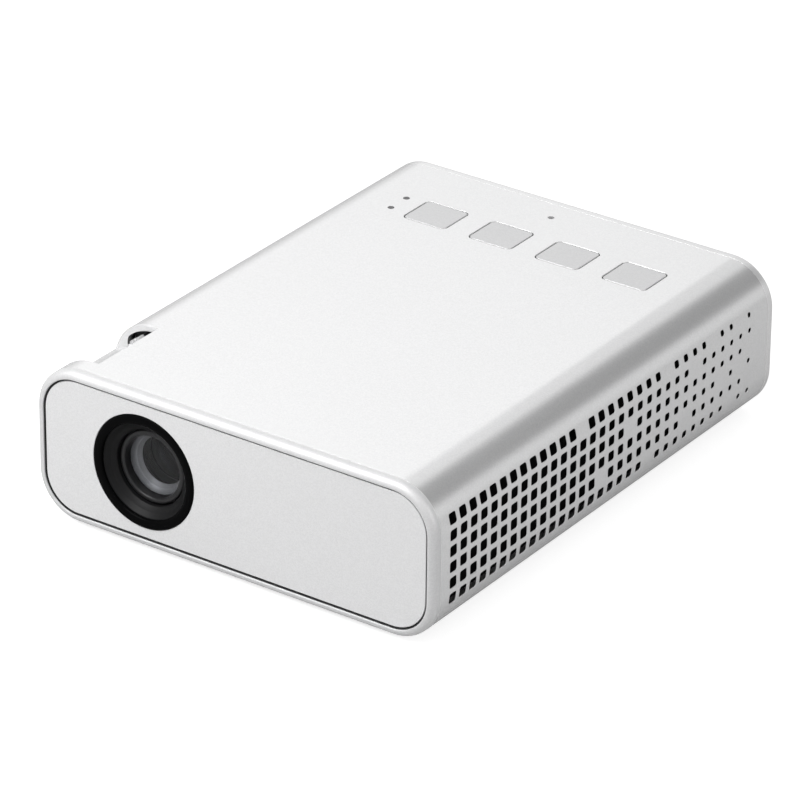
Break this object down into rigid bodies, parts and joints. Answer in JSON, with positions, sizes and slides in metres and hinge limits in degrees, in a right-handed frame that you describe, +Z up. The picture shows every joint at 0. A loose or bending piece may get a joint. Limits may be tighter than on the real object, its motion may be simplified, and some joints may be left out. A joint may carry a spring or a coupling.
{
  "type": "pocket projector",
  "caption": "Pocket LED projector: rounded flat box with an offset front lens, key row on top, square side vents, thumb-wheel focus and rear sockets.",
  "frame": {"origin": "centre of the footprint on the surface it stands on", "axes": "+X to the right as seen from the front, -Y out of the lens, +Z up"},
  "size_m": [0.083, 0.106, 0.0296],
  "materials": {
    "shell": "fine satin silver-white",
    "cover": "satin",
    "rim": "polished",
    "gasket": "matt",
    "front_panel": "satin",
    "lens_trim": "glossy",
    "lens_hood": "satin",
    "rear_panel": "satin",
    "mesh": "matt",
    "keys": "satin",
    "plunger": "satin",
    "board": "solder mask",
    "switches": "satin",
    "light_pipe": "smoked",
    "chips": "satin",
    "connector": "plated",
    "black_plastic": "satin",
    "battery": "film",
    "steel": "satin",
    "optics": "coated",
    "copper": "bare",
    "fins": "bare",
    "cone": "matt",
    "lens_black": "black anodised",
    "drive": "satin",
    "brass": "bare",
    "feet": "matt",
    "leads": "satin"
  },
  "bodies": {
    "casing": {"upper_shell": "shell", "bottom_cover": "cover", "front_bezel": "rim", "bezel_gasket": "gasket", "front_panel": "front_panel", "lens_trim_ring": "lens_trim", "lens_hood": "lens_hood", "rear_panel": "rear_panel", "vent_meshes": "mesh", "key_board": "board", "main_board": "board", "imager_board": "board", "key_switches": "switches", "status_light_pipes": "light_pipe", "board_parts": "chips", "video_socket": "connector", "data_socket": "connector", "charge_socket": "connector", "power_switch": "connector", "audio_jack": "black_plastic", "engine_housing": "black_plastic", "battery_tray": "black_plastic", "fan_frame": "black_plastic", "speaker_frame": "black_plastic", "battery_pack": "battery", "engine_lid": "steel", "speaker_magnet": "steel", "ring_clip": "steel", "focus_axle": "steel", "cover_screws": "steel", "inner_screws": "steel", "prism": "optics", "dichroic_plates": "optics", "light_modules": "copper", "heat_pipe": "copper", "fan_stator": "copper", "heat_sink": "fins", "speaker_cone": "cone", "lens_mount": "lens_black", "tripod_insert": "brass", "rubber_feet": "feet", "inner_leads": "leads"},
    "focus_wheel": {"focus_wheel": "drive"},
    "focus_ring": {"focus_ring": "drive"},
    "lens": {"lens_barrel": "lens_black", "front_lens": "optics", "rear_lenses": "optics", "lens_retainer": "lens_black"},
    "fan": {"fan_rotor": "black_plastic"},
    "power_slider": {"power_slider": "black_plastic"},
    "key_1": {"key_1": "keys", "key_plunger_1": "plunger"},
    "key_2": {"key_2": "keys", "key_plunger_2": "plunger"},
    "key_3": {"key_3": "keys", "key_plunger_3": "plunger"},
    "key_4": {"key_4": "keys", "key_plunger_4": "plunger"}
  },
  "joints": [
    {"name": "focus_wheel_turn", "type": "hinge", "parent": "casing", "child": "focus_wheel", "pos_m": [-0.03258, -0.031, 0.02283], "axis": [0, 1, 0], "range_deg": [-152, 152]},
    {"name": "focus_ring_turn", "type": "hinge", "parent": "casing", "child": "focus_ring", "pos_m": [-0.01865, -0.031, 0.01495], "axis": [0, 1, 0], "range_deg": [-69, 69]},
    {"name": "lens_focus", "type": "slide", "parent": "casing", "child": "lens", "axis": [0, 1, 0], "range_m": [-0.001, 0.001]},
    {"name": "fan_spin", "type": "hinge", "parent": "casing", "child": "fan", "pos_m": [0.029, -0.0205, 0.0146], "axis": [1, 0, 0], "continuous": true},
    {"name": "power_slide", "type": "slide", "parent": "casing", "child": "power_slider", "axis": [1, 0, 0], "range_m": [0, 0.002]},
    {"name": "key_1_press", "type": "slide", "parent": "casing", "child": "key_1", "axis": [0, 0, -1], "range_m": [0, 0.0004], "stiffness_N_per_m": 600, "springref_m": -0.0003},
    {"name": "key_2_press", "type": "slide", "parent": "casing", "child": "key_2", "axis": [0, 0, -1], "range_m": [0, 0.0004], "stiffness_N_per_m": 600, "springref_m": -0.0003},
    {"name": "key_3_press", "type": "slide", "parent": "casing", "child": "key_3", "axis": [0, 0, -1], "range_m": [0, 0.0004], "stiffness_N_per_m": 600, "springref_m": -0.0003},
    {"name": "key_4_press", "type": "slide", "parent": "casing", "child": "key_4", "axis": [0, 0, -1], "range_m": [0, 0.0004], "stiffness_N_per_m": 600, "springref_m": -0.0003}
  ],
  "couplings": [
    {"joint": "focus_wheel_turn", "follows": "lens_focus", "rad_per_m": 2618},
    {"joint": "focus_ring_turn", "follows": "lens_focus", "rad_per_m": -1190}
  ]
}
